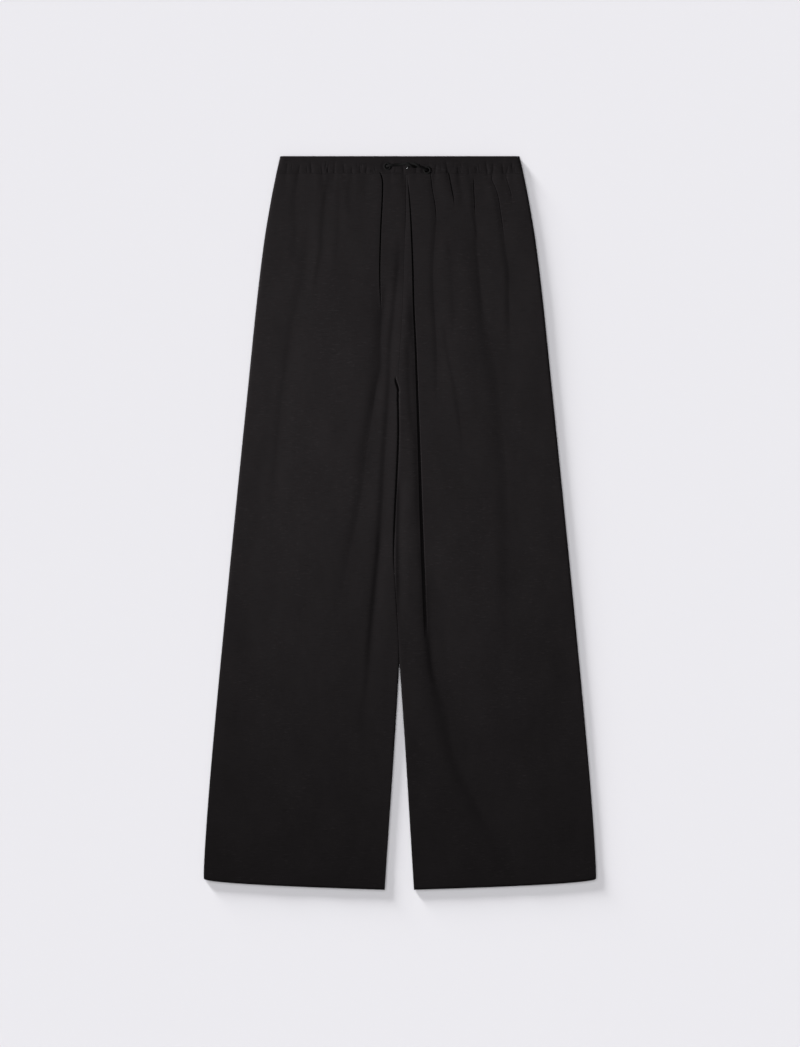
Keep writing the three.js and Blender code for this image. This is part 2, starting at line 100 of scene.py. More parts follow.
# Creases of the front panels, from the centre outwards, as in the part. A "slot" is the narrow
# dark fold at the bottom of a sharp one, and "soft" the wide hollow that it turns into.
CREASES = {
    -1: [
        dict(start=90, end=900, depth=1.5, reach=6, right=13,
             path=[(105, 2), (150, 0.5), (210, -5.5), (270, -11), (330, -13.5), (390, -17.5),
                   (450, -21.5), (510, -24.5), (560, -27.5), (620, -33), (680, -38.5), (740, -43),
                   (800, -51)]),
        dict(start=16, end=240, depth=0.35, reach=3, right=0.8,
             slot=dict(start=22, end=228, depth=4.2, half=1.15, half_end=1.2, tail=105),
             soft=dict(start=140, end=700, depth=1.3, reach=9, right=24),
             path=[(20, -29), (34, -25), (48, -24.6), (70, -25.4), (105, -27.2), (160, -28.6),
                   (190, -28.2), (215, -26.5), (240, -26), (306, -31.5), (360, -37), (420, -46),
                   (480, -53), (521, -60), (635, -84), (692, -95)]),
        dict(start=8, end=62, depth=0.35, reach=4, right=9, path=[(27, -46), (50, -47)]),
        dict(start=10, end=95, depth=0.5, reach=5, right=9, path=[(31, -73), (77, -70)]),
        dict(start=12, end=170, depth=0.4, reach=4.5, right=9,
             path=[(31, -86), (105, -86), (134, -89)]),
        dict(start=8, end=225, depth=0.8, reach=5, right=13,
             path=[(31, -99.5), (60, -105), (100, -109), (130, -110), (177, -118)]),
        dict(start=50, end=560, depth=0.6, reach=6, right=14,
             path=[(90, -130), (134, -132), (180, -140), (240, -152), (300, -161), (360, -169),
                   (480, -179)]),
        dict(start=8, end=175, depth=0.65, reach=7, right=16,
             path=[(31, -144), (60, -148), (105, -147), (140, -148), (177, -158)]),
    ],
    1: [
        dict(start=180, end=620, depth=2, reach=7.5, right=0.8,
             slot=dict(start=20, end=700, depth=5.8, half=1.1, half_end=3.1, lead=115, tail=120),
             path=[(31, 11.3), (53, 13.3), (90, 15.8), (150, 18.3), (210, 19.9), (270, 22.7),
                   (330, 24.9), (390, 27), (450, 29), (510, 30.8), (560, 32.6), (620, 35),
                   (690, 38)]),
        dict(start=8, end=390, depth=0.9, reach=3.8, right=13,
             slot=dict(start=18, end=100, depth=0.55, half=0.9),
             path=[(23, 44), (46, 46.5), (66, 50), (90, 52.5), (110, 51.5), (150, 48.5),
                   (177, 48), (210, 49.5), (270, 53), (349, 54)]),
        dict(start=8, end=70, depth=0.6, reach=3, right=7,
             slot=dict(start=20, end=72, depth=1.2, half=0.9), path=[(26, 70.5), (66, 78)]),
        dict(start=10, end=75, depth=0.6, reach=4, right=9, path=[(31, 86.5), (55, 88.5)]),
        dict(start=8, end=330, depth=1, reach=4.6, right=20,
             slot=dict(start=30, end=88, depth=0.6, half=0.9),
             soft=dict(start=70, end=760, depth=1.5, reach=13, right=45),
             path=[(31, 105.5), (75, 107.5), (105, 110.5), (130, 111.5), (160, 113.5),
                   (200, 118), (240, 124), (306, 139), (400, 149), (463, 154), (560, 156)]),
        dict(start=14, end=70, depth=0.6, reach=4, right=9, path=[(31, 117), (55, 119.5)]),
        dict(start=10, end=310, depth=1.1, reach=5, right=26,
             slot=dict(start=24, end=125, depth=0.35, half=0.9),
             path=[(34, 132), (45, 137), (60, 141.5), (80, 144.5), (100, 147.5), (130, 151.5),
                   (160, 156.5), (200, 157), (270, 158.5)]),
        dict(start=8, end=80, depth=0.7, reach=4.5, right=12,
             slot=dict(start=20, end=66, depth=0.3, half=0.8), path=[(31, 152.5), (55, 160)]),
    ],
}

# Low creases and folds that cross the others, and the centre seam's hook at the crotch.
CROTCH_HOOK = dict(start=314, end=341, depth=5.2, reach=1.6, right=0.65,
                   path=[(320, -5.4), (326, -3.7), (331, -2), (336, -1)])
SMALL_CREASES = {
    -1: [
        CROTCH_HOOK,
        dict(start=520, end=780, depth=0.45, reach=4.5, right=8,
             path=[(560, -29), (620, -35), (680, -41), (740, -46)]),
        dict(start=170, end=420, depth=1, reach=5, right=11,
             path=[(200, -20), (240, -25), (270, -26), (300, -26), (330, -32), (390, -43)]),
        dict(start=210, end=1040, depth=1.5, reach=26, right=62,
             path=[(250, -176), (400, -188), (540, -200), (700, -215), (860, -232),
                   (1000, -242)]),
    ],
    1: [
        CROTCH_HOOK,
        dict(start=255, end=420, depth=0.6, reach=4.5, path=[(260, 13), (330, 14.5), (390, 18)]),
        dict(start=450, end=700, depth=1.3, reach=4, right=9,
             path=[(510, -0.5), (560, -1), (620, -0.5), (690, -2)]),
        dict(start=540, end=800, depth=1.7, reach=7, right=22,
             path=[(578, 36), (620, 39), (680, 43), (740, 50), (800, 62)]),
        dict(start=580, end=1060, depth=3.1, reach=17, right=45,
             path=[(620, 54), (680, 57), (740, 61), (800, 71), (860, 85), (920, 112), (965, 134),
                   (1010, 156)]),
        dict(start=230, end=440, depth=0.55, reach=3.6, right=13,
             path=[(240, 64.5), (270, 68), (300, 73.5), (330, 79.5), (400, 90)]),
        dict(start=110, end=300, depth=0.35, reach=3.6, right=13,
             path=[(120, 70.5), (150, 74.5), (230, 78)]),
        dict(start=92, end=260, depth=0.5, reach=4, right=10,
             path=[(95, 110), (130, 110.8), (160, 113.5), (200, 117), (240, 119.5)]),
    ],
}
# The back's creases are low, because it lies on the surface. Each is on the underside.
BACK_CREASES = {
    -1: [
        dict(start=36, end=400, depth=0.5, reach=10, right=14,
             path=[(60, -56), (180, -63), (290, -66), (390, -77)]),
        dict(start=30, end=285, depth=0.35, reach=9, right=12,
             path=[(50, -121), (150, -126), (270, -141)]),
        dict(start=300, end=830, depth=0.55, reach=13, right=18,
             path=[(340, -38), (470, -55), (640, -71), (800, -106)]),
        dict(start=540, end=985, depth=0.4, reach=15, right=21,
             path=[(590, -152), (770, -163), (950, -188)]),
    ],
    1: [
        dict(start=32, end=330, depth=0.45, reach=10, right=13,
             path=[(55, 62), (140, 66), (230, 77), (320, 82)]),
        dict(start=28, end=460, depth=0.5, reach=11, right=16,
             path=[(48, 117), (170, 121), (320, 137), (440, 142)]),
        dict(start=390, end=760, depth=0.4, reach=13, right=19,
             path=[(430, 178), (590, 190), (740, 199)]),
        dict(start=700, end=1010, depth=0.5, reach=14, right=20,
             path=[(740, 152), (850, 178), (990, 221)]),
    ],
}
GATHERS = [  # x, lean from the top edge to the seam, depth
    (-161, -3, 0.8), (-143, -4, 1.1), (-127, 2, 1.3), (-112, 3, 1.2), (-93, -2, 0.8),
    (-80, 2, 1.1), (-68, -1, 1.3), (-57, 2, 1.1), (-47, -3, 1.2), (-14, 2, 0.9), (4, 3, 1),
    (24, -2, 1), (52, -3, 1.3), (67, 3, 1.1), (83, 2, 1.2), (98, 3, 0.9), (111, -3, 1.1),
    (124, 3, 1.4), (134, -2, 1.2), (147, 3, 1.1), (161, 2, 0.8),
]
GATHER_REACH = 2.6
EYELETS = {"right": (-18, 14.6), "left": (39, 20)}  # x, down

# ---- sizes of the finer forms ----

SHOWN_SEAM = 0.04      # the shown pieces meet closer than the solids
SHELL = 0.7            # thickness of the shown cloth
HEM_SHELL = 1.2        # and where the hem is turned up
EDGE_BLEND = 5         # the shells thicken over this width, to meet at the seams
EDGE_GAP = 0.03        # half of what stays between the front's shell and the back's there
SOFT_LEAD = 0.12       # long creases grow over this share of their length
SLOT_COLUMNS = (-1.5, -1.08, -1, -0.65, -0.3, 0, 0.3, 0.65, 1, 1.08, 1.5)
COLUMN_STEP = 3
CENTRE_STEP = 1.1      # columns stand closer together near the centre seam
CENTRE_WIDTH = 30
ROW_STEP = 5
SEAM_SLOT = 1.6        # half the width of the dark line where the legs meet
BAND_FACE = 2 * BAND_LAYER + SEAM_GAP


# ---- small functions ----

def smoothstep(start, end, value):
    share = np.clip((value - start) / (end - start), 0, 1)
    return share * share * (3 - 2 * share)


def rolled(distance, roll):
    """A quarter of an ellipse: 0 at the edge, 1 from the end of the roll onwards."""
    left = 1 - np.clip(distance / roll, 0, 1)
    return np.sqrt(1 - left * left)


def bell(distance, reach):
    return np.exp(-(distance / reach) ** 2)


def curve_through(pairs, position):
    """A smooth curve through (position, value) pairs, level beyond its two ends."""
    at, value = np.array(pairs, float).T
    slope = np.empty_like(value)
    slope[1:-1] = (value[2:] - value[:-2]) / (at[2:] - at[:-2])
    slope[0] = (value[1] - value[0]) / (at[1] - at[0])
    slope[-1] = (value[-1] - value[-2]) / (at[-1] - at[-2])
    where = np.clip(np.asarray(position, float), at[0], at[-1])
    k = np.clip(np.searchsorted(at, where) - 1, 0, len(at) - 2)
    span = at[k + 1] - at[k]
    t = (where - at[k]) / span
    rise = t * t * (3 - 2 * t)
    leaving = span * slope[k] * t * (1 - t) ** 2
    arriving = -span * slope[k + 1] * t * t * (1 - t)
    return value[k] + (value[k + 1] - value[k]) * rise + leaving + arriving


def half_width(down):
    return curve_through(SILHOUETTE, down)


def inner_edge(side, down):
    gap = np.maximum(0, down - GAP_START) * GAP_SPREAD + SHOWN_SEAM / 2
    return curve_through(CENTRE_LINE, down) + side * gap


def panel_width(side, down):
    return half_width(down) - side * inner_edge(side, down)


def inseam_share(down):
    return smoothstep(CROTCH, CROTCH + INSEAM_BLEND, down)


def y_of(down):
    return LENGTH / 2 - down


WAVE_TURN = 0.5   # radians that a wave may lie askew


def waves(x, y, count, shortest, longest, stretch):
    """Soft uneven waves between -1 and 1, longer along Y than along X by the stretch."""
    total = np.zeros(np.broadcast(x, y).shape)
    for _ in range(count):
        length = RNG.uniform(shortest, longest)
        turn = RNG.uniform(-WAVE_TURN, WAVE_TURN)
        phase = RNG.uniform(0, 2 * math.pi)
        across = x * math.cos(turn) + y * math.sin(turn) / stretch
        along = y * RNG.uniform(0.5, 1) / stretch
        total += np.sin(2 * math.pi * across / length + phase) * np.cos(along * 4 / length + phase)
    return total / count


# ---- camera ----

VIEW_HEIGHT = 1.4993   # metres that the picture's long side covers at the table
VIEW_CENTRE = (0.0002, -0.0007)
CAMERA_HEIGHT = 9.0
SENSOR = 36


def make_camera():
    data = bpy.data.cameras.new("camera")
    data.sensor_width = SENSOR
    data.lens = SENSOR * CAMERA_HEIGHT / VIEW_HEIGHT
    data.clip_start = 0.1
    data.clip_end = 100
    camera = bpy.data.objects.new("camera", data)
    camera.location = (*VIEW_CENTRE, CAMERA_HEIGHT)
    bpy.context.collection.objects.link(camera)
    bpy.context.scene.camera = camera


make_camera()


# ---- meshes ----

WELD_DISTANCE = 1e-7   # metres


def make_object(name, points, faces, material, smooth=True):
    mesh = bpy.data.meshes.new(name)
    mesh.from_pydata([], [], [])
    points = np.asarray(points, float) * MM
    mesh.vertices.add(len(points))
    mesh.vertices.foreach_set("co", points.ravel())
    faces = np.asarray(faces, np.int32)
    sides = faces.shape[1]
    mesh.loops.add(faces.size)
    mesh.loops.foreach_set("vertex_index", faces.ravel())
    mesh.polygons.add(len(faces))
    mesh.polygons.foreach_set("loop_start", np.arange(0, faces.size, sides, dtype=np.int32))
    mesh.update(calc_edges=True)
    mesh.validate()
    mesh.polygons.foreach_set("use_smooth", np.full(len(faces), smooth))
    mesh.materials.append(material)
    made = bpy.data.objects.new(name, mesh)
    bpy.context.collection.objects.link(made)
    return made


def slab(name, x, y, top, bottom, material):
    """A closed sheet from grids of points: rows run down the garment, columns to higher x."""
    rows, columns = x.shape
    count = rows * columns
    points = np.concatenate([
        np.stack([x, y, top], -1).reshape(-1, 3),
        np.stack([x, y, bottom], -1).reshape(-1, 3),
    ])
    index = np.arange(count).reshape(rows, columns)
    corners = np.stack([index[:-1, :-1], index[1:, :-1], index[1:, 1:], index[:-1, 1:]], -1)
    upper = corners.reshape(-1, 4)
    lower = (upper + count)[:, ::-1]
    rim = np.concatenate([index[:, 0], index[-1, 1:], index[-2::-1, -1], index[0, -2:0:-1]])
    after = np.roll(rim, -1)
    sides = np.stack([rim, rim + count, after + count, after], -1)
    return make_object(name, points, np.concatenate([upper, lower, sides]), material)


def ring_faces(rings, sides):
    """The faces between a tube's rings of points."""
    index = np.arange(rings * sides).reshape(rings, sides)
    following = np.roll(index, -1, axis=1)
    return np.stack([index[:-1], following[:-1], following[1:], index[1:]], -1).reshape(-1, 4)


def reworked(piece, change):
    """Lets change(work) edit the piece's mesh, and turns its faces outwards."""
    work = bmesh.new()
    work.from_mesh(piece.data)
    change(work)
    bmesh.ops.recalc_face_normals(work, faces=work.faces)
    work.to_mesh(piece.data)
    work.free()
    return piece


def cap_ends(work, sides):
    """Closes a tube's two ends."""
    work.verts.ensure_lookup_table()
    count = len(work.verts)
    work.faces.new([work.verts[k] for k in range(sides)])
    work.faces.new([work.verts[count - 1 - k] for k in range(sides)])


def lathe(name, profile, material, sides, wave=None):
    """A closed turned form round Z. wave(angle) scales the profile's height."""
    rings = []
    angle = np.linspace(0, 2 * math.pi, sides, endpoint=False)
    for radius, height in profile:
        lift = np.ones_like(angle) if wave is None else wave(angle)
        rings.append(np.stack([radius * np.cos(angle), radius * np.sin(angle), height * lift], -1))
    points = np.array(rings).reshape(-1, 3)
    piece = make_object(name, points, ring_faces(len(rings), sides), material)
    return reworked(piece, lambda work: bmesh.ops.remove_doubles(
        work, verts=work.verts, dist=WELD_DISTANCE))


def shift(piece, place):
    """Moves the piece's points by a place in millimetres."""
    for vertex in piece.data.vertices:
        vertex.co += Vector([float(value) * MM for value in place])


def dress(piece, slot, *nodes):
    """Attaches the piece to its body and hides the nodes it stands for. The slot is not used."""
    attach(piece, ROOT)
    if nodes:
        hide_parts(*nodes)
    return piece


# ---- materials ----

class Nodes:
    """A short way to add and join shader nodes."""

    def __init__(self, name):
        self.material = bpy.data.materials.new(name)
        self.material.use_nodes = True
        self.tree = self.material.node_tree
        self.shader = self.tree.nodes["Principled BSDF"]

    def add(self, kind, inputs=(), **settings):
        node = self.tree.nodes.new(kind)
        for key, value in settings.items():
            setattr(node, key, value)
        for key, value in dict(inputs).items():
            self.put(node.inputs[key], value)
        return node

    def put(self, socket, value):
        if isinstance(value, bpy.types.NodeSocket):
            self.tree.links.new(value, socket)
        else:
            socket.default_value = value

    def set(self, **values):
        for key, value in values.items():
            self.put(self.shader.inputs[key.replace("_", " ")], value)

    def math(self, operation, a, b=0.0, clamp=False):
        node = self.add("ShaderNodeMath", operation=operation, use_clamp=clamp)
        self.put(node.inputs[0], a)
        self.put(node.inputs[1], b)
        return node.outputs[0]

    def stretched(self, scale):
        place = self.add("ShaderNodeTexCoord").outputs["Object"]
        mapping = self.add("ShaderNodeMapping", {"Vector": place, "Scale": scale})
        return mapping.outputs["Vector"]

    def noise(self, scale, detail=2.0, rough=0.5):
        node = self.add("ShaderNodeTexNoise", {
            "Vector": self.stretched(scale), "Scale": 1.0, "Detail": detail, "Roughness": rough})
        return node.outputs["Fac"]

    def ramp(self, value, low, high):
        node = self.add("ShaderNodeMapRange", {
            "Value": value, "From Min": low, "From Max": high}, interpolation_type="SMOOTHSTEP")
        return node.outputs["Result"]

    def mixed(self, factor, first, second):
        node = self.add("ShaderNodeMix", data_type="RGBA")
        self.put(node.inputs[0], factor)
        self.put(node.inputs[6], first)
        self.put(node.inputs[7], second)
        return node.outputs[2]

    def bump(self, height, distance, strength=1.0):
        node = self.add("ShaderNodeBump", {
            "Height": height, "Distance": distance, "Strength": strength})
        self.put(self.shader.inputs["Normal"], node.outputs["Normal"])


def grey(level, warmth=0.0):
    return (level * (1 + warmth), level, level * (1 + warmth * 0.35), 1)


def linen_material(name, level, weave_pitch=0.75):
    """Black cloth in plain weave, with thick places in its yarns that run mostly across."""
    n = Nodes(name)
    uneven = n.ramp(n.noise((14, 11, 20), 2, 0.5), 0.38, 0.62)
    weft_slub = n.ramp(n.noise((120, 640, 40), 2, 0.55), 0.57, 0.72)
    weft_thin = n.ramp(n.noise((70, 900, 40), 1, 0.5), 0.55, 0.78)
    warp_slub = n.ramp(n.noise((820, 46, 40), 1, 0.5), 0.6, 0.78)
    grain = n.noise((1500, 1500, 1500), 1, 0.6)
    mottle = n.noise((21, 15, 20), 3, 0.6)
    turns = 2 * math.pi / (weave_pitch * MM) / 2
    place = n.add("ShaderNodeSeparateXYZ", {"Vector": n.stretched((turns, turns, turns))})
    warp = n.math("SINE", place.outputs["X"])
    weft = n.math("SINE", place.outputs["Y"])
    weave = n.math("MULTIPLY", warp, weft)
    slubs = n.math("MULTIPLY", weft_slub, n.math("ADD", n.math("MULTIPLY", uneven, 0.45), 0.15))
    yarn = n.math("ADD", slubs, n.math("MULTIPLY", warp_slub, 0.13))
    yarn = n.math("ADD", yarn, n.math("MULTIPLY", weft_thin, -0.28))
    shade = n.math("ADD", yarn, n.math("MULTIPLY", n.math("SUBTRACT", mottle, 0.5), 0.55))
    shade = n.math("ADD", shade, n.math("MULTIPLY", n.math("SUBTRACT", grain, 0.5), 0.3))
    colour = n.mixed(n.math("ADD", n.math("MULTIPLY", shade, 0.45), 0.27, clamp=True),
                     grey(level * 0.5, 0.16), grey(level * 1.9, 0.14))
    n.set(Base_Color=colour, Roughness=0.85, Specular_IOR_Level=0.05, Sheen_Weight=0.02,
          Sheen_Roughness=0.4)
    height = n.math("ADD", n.math("MULTIPLY", weave, 0.16), n.math("MULTIPLY", yarn, 0.8))
    height = n.math("ADD", height, n.math("MULTIPLY", grain, 0.35))
    n.bump(height, 0.0001, 0.8)
    return n.material


def thread_material(name, level):
    n = Nodes(name)
    fibre = n.noise((2600, 2600, 2600), 2, 0.6)
    colour = n.mixed(fibre, grey(level * 0.7, 0.04), grey(level * 1.4, 0.04))
    n.set(Base_Color=colour, Roughness=0.85, Specular_IOR_Level=0.04)
    n.bump(fibre, 0.00012, 0.8)
    return n.material


def metal_material(name):
    n = Nodes(name)
    worn = n.noise((900, 900, 900), 2, 0.5)
    colour = n.mixed(worn, (0.12, 0.12, 0.123, 1), (0.15, 0.15, 0.153, 1))
    n.set(Base_Color=colour, Metallic=1.0, Roughness=n.ramp(worn, 0.0, 3.0))
    n.bump(worn, 0.00002, 0.5)
    return n.material


CLOTH = linen_material("cloth", 0.0151)
# The band's cloth is the legs' cloth set a little darker: painted shade.
BAND_CLOTH_PAINTED_SHADE = linen_material("band_cloth", 0.014)
# The cord is darker than the cloth: partly its own black, partly painted shade that stands in for
# the shadows it does not cast under the rake and the pool.
CORD_SHADE_PAINTED = thread_material("cord", 0.0082)
THREAD = thread_material("thread", 0.0125)
METAL = metal_material("tip_metal")

# ---- drawstring ----

LYING = BAND_FACE + GATHER_SWELL + SEAM_GAP + CORD_DIAMETER / 2
TWIST_RADIUS = 2.38  # of a strand's middle line round the half knot's
TWIST_TURNS = 0.72
TWIST_PHASE = math.radians(54)
TWIST_CLEARANCE = 0.15  # between the half knot and the band
TWIST_HEIGHT = BAND_FACE + GATHER_SWELL + TWIST_CLEARANCE + TWIST_RADIUS + CORD_DIAMETER / 2
TWIST_ENDS = ((11, 12.3), (28.5, 13.9))  # x, down of the half knot's two ends
CORD_SIDES = 40
CORD_POINT_STEP = 0.35
CORD_FINE_STEP = 0.1
CORD_EASING = 55  # rounds of easing its bends
CORD_END_SHARE = 0.62  # of its thickness, at its very ends
CORD_END_ROLL = 0.9
BRAID_DEPTH = 0.1
BRAID_SWELL = 1.4
BRAID_STRANDS = 8
BRAID_PITCH = 7.5
TIP_RADIUS = 1.4
TIP_LENGTH = 3.3
TIP_ROUND = 0.9  # radius of its rounded end
TIP_MOUTH = (0.9, 0.25)  # share of the radius at its mouth, and the lip's depth
TIP_OVERLAP = 0.8  # of the cord's end that it covers
TIP_SIDES = 48


def distances_along(points):
    """How far along a path each of its points lies."""
    return np.concatenate([[0], np.cumsum(np.linalg.norm(np.diff(points, axis=0), axis=1))])


def spline_points(route, step):
    """Points a step apart on a smooth curve through the route's points."""
    route = np.array(route, float)
    reach = distances_along(route)
    fine = np.linspace(0, reach[-1], int(reach[-1] / CORD_FINE_STEP))
    dense = np.stack([curve_through(list(zip(reach, route[:, k])), fine) for k in range(3)], -1)
    along = distances_along(dense)
    even = np.linspace(0, along[-1], int(along[-1] / step))
    return np.stack([np.interp(even, along, dense[:, k]) for k in range(3)], -1)


def eased(points):
    """The path with its bends drawn out, as a limp cord takes them, and the same two ends."""
    for _ in range(CORD_EASING):
        points[1:-1] = (points[:-2] + 2 * points[1:-1] + points[2:]) / 4
    return points


def frames_along(points):
    """Directions and two steady cross directions at each point of a path."""
    ahead = np.gradient(points, axis=0)
    ahead /= np.linalg.norm(ahead, axis=1)[:, None]
    first = np.empty_like(points)
    side = np.cross(ahead[0], (0, 0, 1.0))
    if np.linalg.norm(side) < 0.1:
        side = np.cross(ahead[0], (0, 1.0, 0))
    for k, direction in enumerate(ahead):
        side = side - direction * np.dot(side, direction)
        side = side / np.linalg.norm(side)
        first[k] = side
    return ahead, first, np.cross(ahead, first)


def braided_cord(name, route):
    """A round cord of crossing strands, and the points of its middle line."""
    points = eased(spline_points(route, CORD_POINT_STEP))
    _, first, second = frames_along(points)
    angle = np.linspace(0, 2 * math.pi, CORD_SIDES, endpoint=False)
    pairs = BRAID_STRANDS / 2
    turn = 2 * math.pi * distances_along(points)[:, None] / BRAID_PITCH * pairs
    lift = np.abs(np.sin(angle[None] * pairs + turn))
    cross = np.abs(np.sin(angle[None] * pairs - turn))
    strands = np.maximum(lift, cross) * np.minimum(1, lift + cross)
    radius = CORD_DIAMETER / 2 - BRAID_DEPTH + BRAID_DEPTH * BRAID_SWELL * strands
    last = len(points) - 1
    ends = np.minimum(np.arange(last + 1), np.arange(last, -1, -1)) * CORD_POINT_STEP
    end_share = CORD_END_SHARE + (1 - CORD_END_SHARE) * rolled(ends, CORD_END_ROLL)
    radius = (radius * end_share[:, None])[..., None]
    rings = points[:, None] + radius * (np.cos(angle)[None, :, None] * first[:, None]
                                        + np.sin(angle)[None, :, None] * second[:, None])
    piece = make_object(name, rings.reshape(-1, 3), ring_faces(len(points), CORD_SIDES), CORD_SHADE_PAINTED)
    return reworked(piece, lambda work: cap_ends(work, CORD_SIDES)), points


def twist_points(phase, start, end, count=9):
    """A strand's points round the half knot's middle line."""
    points = []
    (first_x, first_down), (last_x, last_down) = TWIST_ENDS
    for t in np.linspace(start, end, count):
        x = first_x + (last_x - first_x) * t
        down = first_down + (last_down - first_down) * t
        angle = phase + 2 * math.pi * TWIST_TURNS * t
        points.append((x, y_of(down) + TWIST_RADIUS * math.cos(angle),
                       TWIST_HEIGHT + TWIST_RADIUS * math.sin(angle)))
    return points


def placed(route):
    """A route's points (x, down, height) in the frame."""
    return [(x, y_of(down), height) for x, down, height in route]


def make_drawstring():
    """Two strands on the part's own routes, wound round each other at the half knot."""
    right_x, right_down = EYELETS["right"]
    left_x, left_down = EYELETS["left"]
    right_route = placed([
        (right_x - 0.9, right_down, BAND_FACE - 0.3),
        (right_x + 1.3, right_down - 0.4, BAND_FACE + 2.9),
        (right_x + 5.5, right_down - 1.3, LYING + 1.3),
        (right_x + 11, 12.7, LYING + 0.2),
        (0, 12.2, LYING),
    ]) + twist_points(TWIST_PHASE, 0, 1)
    left_route = placed([
        (left_x + 0.9, left_down, BAND_FACE - 0.3),
        (left_x - 1.3, left_down - 0.8, BAND_FACE + 2.9),
        (left_x - 5.3, left_down - 2.8, LYING + 1.3),
    ]) + twist_points(TWIST_PHASE + math.pi, 0.9, 0.18, 8) + placed([
        (12.6, 14.4, LYING + 0.3),
        (11.3, 16.5, LYING),
    ])
    right_cord, right_points = braided_cord("drawstring_wearers_right", right_route)
    left_cord, left_points = braided_cord("drawstring_wearers_left", left_route)
    dress(right_cord, "cord", "drawstring_right", "drawstring_knot")
    dress(left_cord, "cord", "drawstring_left")
    tip = make_tip(left_points)


def make_tip(points):
    """A small metal sleeve with a rounded end, on the cord's end."""
    ahead = points[-1] - points[-4]
    ahead /= np.linalg.norm(ahead)
    mouth_share, lip = TIP_MOUTH
    straight = TIP_LENGTH - TIP_ROUND
    profile = [(0, 0), (TIP_RADIUS * mouth_share, 0), (TIP_RADIUS, lip), (TIP_RADIUS, straight)]
    flat = TIP_RADIUS - TIP_ROUND
    profile += [(flat + TIP_ROUND * math.cos(a), straight + TIP_ROUND * math.sin(a))
                for a in np.linspace(0.2, math.pi / 2, 7)]
    profile += [(0, TIP_LENGTH)]
    tip = lathe("drawstring_metal_tip", profile, METAL, TIP_SIDES)
    direction = Vector(ahead.tolist())
    tip.data.transform(direction.to_track_quat("Z", "Y").to_matrix().to_4x4())
    shift(tip, points[-1] - ahead * TIP_OVERLAP)
    return dress(tip, "tip_metal", "drawstring_tip")


make_drawstring()


# ---- leg panels ----

EDGE_INSETS = [0, 0.6, 1.1, 1.6, 1.85, 2.8, 4, 7]
CENTRE_INSET_SCALE = 0.2
LEAST_COLUMN = 0.12
TURNED_EDGE = 2.5
PANEL_TOP = BAND_DEPTH - TURNED_EDGE    # the panels reach up inside the band's turned edge
ROW_SPANS = [  # the front's rows: from, to, step
    (PANEL_TOP, 66, 1.8), (66, 300, ROW_STEP), (300, 345, 1.5), (345, LENGTH, ROW_STEP),
]
SLOT_LEAD = 8
SLOT_FLOOR = 0.6         # share of a slot's half width that is level

# How the band's gathers run on into the panels. Lean and spread are for each millimetre down.
RIPPLE_DEPTH = 0.36
RIPPLE_FALL = 24
RIPPLE_MORE_FALL = 22
RIPPLE_UNEVENNESS = 1.7
RIPPLE_LEAN = 0.02
RIPPLE_REACH = 3
RIPPLE_SPREAD = 0.08

# Where the legs' inner edges stand apart, and where they lie close together.
SPLIT_ALONG = ((331, 340), (500, 620))
SPLIT_DEPTH = 1.1
SPLIT_FLOOR = 0.7        # share of the seam slot's half width that is level
TOUCH_ALONG = ((540, 600), (690, 740))
TOUCH_SHARE = 0.75

SEAM_FORMS = ((0.3, 3.5), (0.12, 0.6))      # depth, reach of the centre seam's hollow and line
FRONT_WAVES = ((0.55, 9, 45, 120, 3.0), (0.12, 9, 14, 30, 2.0))  # depth, then what waves() takes
LAYER_SPACE = 0.25       # between the front's shell and the back's solid
LAYER_SHARPNESS = 4
HEM_LEAD = 2
HEM_RIDGE = 0.35
HEM_EDGE = 3
TUCK_DEPTH = 0.05        # how the panels' tops go under the band's edge
TUCK_UNEVENNESS = (0.3, 6, 9, 40, 1.0)

BACK_TOP = PANEL_TOP + 1.5
BACK_ROW_STEP = 7.5
BACK_INSETS = [0, 0.5, 1.2, 2.2, 3.5, 5, 7]
BACK_COLUMNS = 44
BACK_SEAM_SHIFT = 0.35   # the back's seam lies beside the front's, and closes its gap
BACK_SEAM_REACH = 6
BACK_SEAM_END = 60
BACK_SEAM_HEIGHT = 0.22
BACK_SEAM_WIDTH = 0.8
BACK_RIPPLES = 0.5       # of the front's
BACK_HEM = 0.4


def slot_half(down, start, end, half, half_end=None, **_):
    """A slot's half width, which may grow along it."""
    return half if half_end is None else half + (half_end - half) * smoothstep(start, end, down)


def crease_columns(side, crease, down):
    first, last = crease["path"][0][0], crease["path"][-1][0]
    shown = np.clip(down, first, last)
    across = side * (curve_through(crease["path"], shown) - inner_edge(side, shown))
    centre = across / panel_width(side, shown) * panel_width(side, down)
    if "slot" not in crease:
        return [centre]
    half = slot_half(down, **crease["slot"])
    return [centre + share * half for share in SLOT_COLUMNS]


def guide_columns(side, down):
    """The columns of the part's own panels: rolled edges, creases, and one between each two."""
    width = panel_width(side, down)
    scale = CENTRE_INSET_SCALE + (1 - CENTRE_INSET_SCALE) * inseam_share(down)
    columns = [inset * scale for inset in EDGE_INSETS]
    rolled_columns = len(columns)
    outer = [width - inset for inset in reversed(EDGE_INSETS)]
    for group in [crease_columns(side, crease, down) for crease in CREASES[side]] + [outer]:
        columns.append((columns[-1] + group[0]) / 2)
        columns.extend(group)
    for k in range(rolled_columns, len(columns)):
        columns[k] = np.maximum(columns[k], columns[k - 1] + LEAST_COLUMN)
    columns[-1] = width
    for k in range(len(columns) - 2, rolled_columns, -1):
        columns[k] = np.minimum(columns[k], columns[k + 1] - LEAST_COLUMN)
    return np.stack(columns, -1)


def fine_columns(guides):
    """More columns between the guides, even in each space."""
    columns = []
    for k in range(guides.shape[1] - 1):
        gap = np.mean(guides[:, k + 1] - guides[:, k])
        step = CENTRE_STEP if np.mean(guides[:, k]) < CENTRE_WIDTH else COLUMN_STEP
        pieces = math.ceil(gap / step)
        for part in range(pieces):
            columns.append(guides[:, k] + (guides[:, k + 1] - guides[:, k]) * part / pieces)
    columns.append(guides[:, -1])
    return np.stack(columns, -1)


